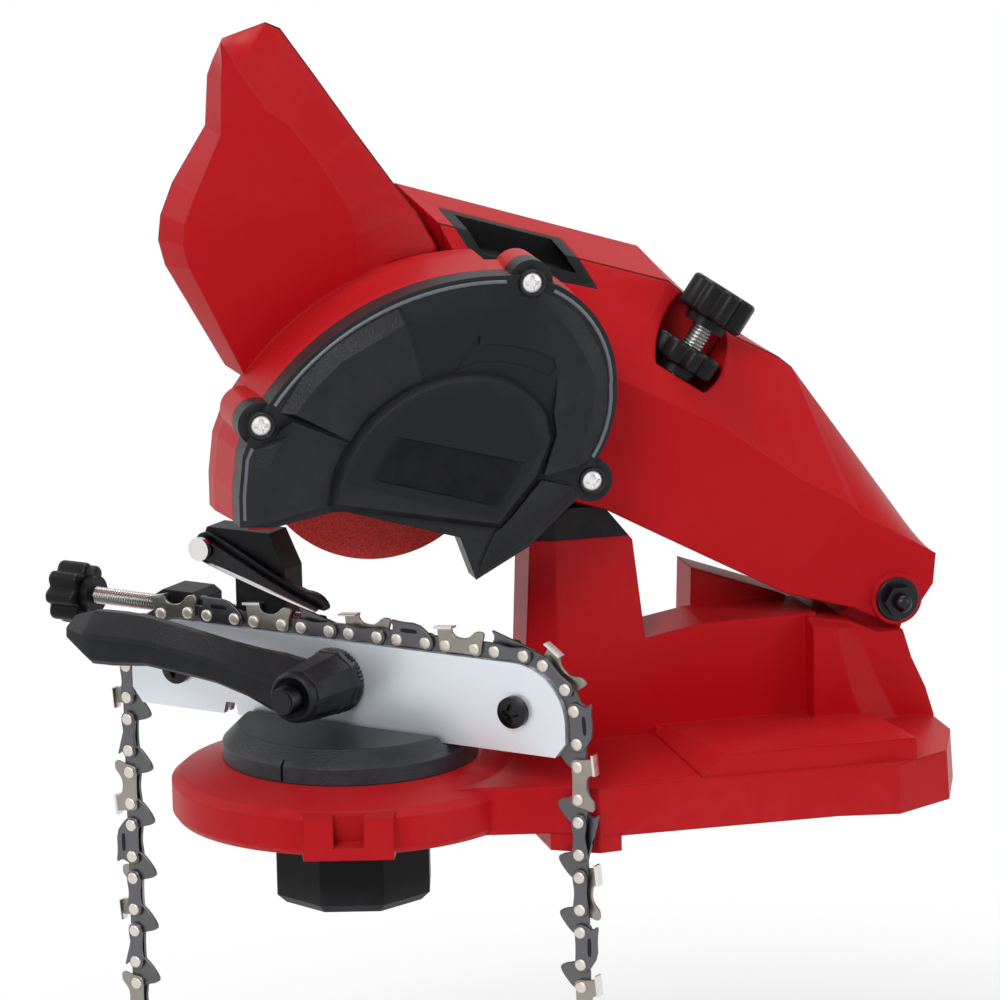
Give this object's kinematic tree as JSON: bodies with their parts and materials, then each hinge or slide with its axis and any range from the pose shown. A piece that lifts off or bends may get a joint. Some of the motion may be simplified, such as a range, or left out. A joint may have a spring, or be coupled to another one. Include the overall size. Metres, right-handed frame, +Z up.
{
  "type": "electric chainsaw sharpener",
  "caption": "Bench chainsaw sharpener: motor head with grinding wheel on a sprung pivot arm, turntable chain vise with clamp lever, feed screw and chain stop.",
  "frame": {"origin": "half-way between the two bench bolt holes, on the plane that rests on the bench top", "axes": "+X from the nose to the rear pivot, parallel to the grinding wheel's plane; +Y away from the guard side; +Z up"},
  "size_m": [0.3017, 0.1724, 0.4432],
  "materials": {
    "red_housing": "moulded glass-filled plastic, fine grain, satin",
    "black_plastic": "grained black plastic",
    "plate_steel": "zinc plated sheet",
    "chrome": "bright plated",
    "black_steel": "black oxide",
    "brass": "turned",
    "iron_core": "stacked sheet and varnished winding",
    "wheel_grit": "bonded red aluminium oxide grit",
    "chain_steel": "dark oiled steel",
    "chain_bright": "hard chromed"
  },
  "bodies": {
    "base": {"base_housing": "red_housing", "stop_pad": "black_plastic", "pivot_bolt": "black_steel", "pivot_nut": "black_steel"},
    "arm": {"head_housing_front": "red_housing", "head_housing_rear": "red_housing", "wheel_guard": "black_plastic", "guard_screws": "chrome", "grip_liner": "black_plastic", "depth_insert": "brass", "motor_can": "plate_steel", "motor_cap": "black_plastic", "front_bearing": "plate_steel", "battery_rails": "black_plastic", "battery_contacts": "brass", "switch_frame": "black_plastic"},
    "wheel": {"motor_shaft": "plate_steel", "motor_armature": "iron_core", "cooling_fan": "black_plastic", "inner_flange": "plate_steel", "grinding_wheel": "wheel_grit", "outer_flange": "plate_steel", "wheel_nut": "plate_steel"},
    "vise": {"turntable": "black_plastic", "turntable_bolt": "black_steel", "vise_rear_plate": "plate_steel", "vise_carrier": "black_plastic", "clamp_stud": "black_steel", "feed_bracket": "black_plastic", "drive_links_top": "chain_steel", "tie_straps_top": "chain_steel", "cutters_top": "chain_bright", "drive_links_right": "chain_steel", "tie_straps_right": "chain_steel", "cutters_right": "chain_bright", "drive_links_left": "chain_steel", "tie_straps_left": "chain_steel", "cutters_left": "chain_bright", "drive_links_bend": "chain_steel", "tie_straps_bend": "chain_steel", "cutters_bend": "chain_bright", "chain_rivets": "chain_bright"},
    "lock_knob": {"lock_knob": "black_plastic", "lock_insert": "brass"},
    "front_plate": {"vise_front_plate": "plate_steel", "guide_screws": "black_steel"},
    "clamp_lever": {"clamp_lever": "black_plastic"},
    "feed_screw": {"feed_screw": "chrome", "feed_knob": "black_plastic"},
    "stop_carriage": {"stop_carriage": "black_plastic", "stop_pin": "chrome"},
    "stop_pawl": {"stop_pawl": "chrome"},
    "depth_rod": {"depth_rod": "chrome"},
    "depth_knob": {"depth_knob": "black_plastic"},
    "depth_lock_knob": {"depth_lock_knob": "black_plastic"},
    "rocker": {"rocker_switch": "black_plastic"}
  },
  "joints": [
    {"name": "arm_swing", "type": "hinge", "parent": "base", "child": "arm", "pos_m": [0.0628, -0.038, 0.0592], "axis": [0, 1, 0], "range_deg": [-5, 0], "stiffness_Nm_per_rad": 9, "springref_deg": 34.38},
    {"name": "wheel_spin", "type": "hinge", "parent": "arm", "child": "wheel", "pos_m": [-0.119, -0.06, 0.129], "axis": [0, 1, 0], "continuous": true},
    {"name": "turntable_turn", "type": "hinge", "parent": "base", "child": "vise", "pos_m": [-0.13, -0.06, 0.02], "axis": [0, 0, 1], "range_deg": [-80, 0]},
    {"name": "lock_knob_turn", "type": "hinge", "parent": "vise", "child": "lock_knob", "pos_m": [-0.13, -0.06, -0.015], "axis": [0, 0, 1], "range_deg": [-180, 180]},
    {"name": "plate_slide", "type": "slide", "parent": "vise", "child": "front_plate", "axis": [-0.7071, -0.7071, 0], "range_m": [0, 0.0008]},
    {"name": "clamp_turn", "type": "hinge", "parent": "front_plate", "child": "clamp_lever", "pos_m": [-0.14626, -0.07202, 0.046], "axis": [-0.7071, -0.7071, 0], "range_deg": [-18.1, 0.1]},
    {"name": "feed_turn", "type": "hinge", "parent": "vise", "child": "feed_screw", "pos_m": [-0.20212, 0.02627, 0.061], "axis": [0.7071, -0.7071, 0], "range_deg": [-1085, 1085]},
    {"name": "stop_slide", "type": "slide", "parent": "vise", "child": "stop_carriage", "axis": [0.7071, -0.7071, 0], "range_m": [-0.003, 0.003]},
    {"name": "pawl_turn", "type": "hinge", "parent": "stop_carriage", "child": "stop_pawl", "pos_m": [-0.1696, -0.0204, 0.086], "axis": [-0.7071, -0.7071, 0], "range_deg": [0, 18]},
    {"name": "depth_slide", "type": "slide", "parent": "arm", "child": "depth_rod", "axis": [0.5664, 0, 0.8241], "range_m": [0, 0.005]},
    {"name": "depth_turn", "type": "hinge", "parent": "depth_rod", "child": "depth_knob", "pos_m": [0.0055, -0.047, 0.164], "axis": [0.5664, 0, 0.8241], "range_deg": [-2, 1445]},
    {"name": "depth_lock_turn", "type": "hinge", "parent": "arm", "child": "depth_lock_knob", "pos_m": [-0.00866, -0.047, 0.1434], "axis": [0.5664, 0, 0.8241], "range_deg": [-180, 180]},
    {"name": "switch_rock", "type": "hinge", "parent": "arm", "child": "rocker", "pos_m": [-0.03, -0.014, 0.15], "axis": [0.6, 0, 0.8], "range_deg": [0, 9]}
  ],
  "couplings": [
    {"joint": "clamp_turn", "follows": "plate_slide", "rad_per_m": -392.7},
    {"joint": "feed_turn", "follows": "stop_slide", "rad_per_m": 6283.2},
    {"joint": "depth_turn", "follows": "depth_slide", "rad_per_m": 5026.5}
  ]
}
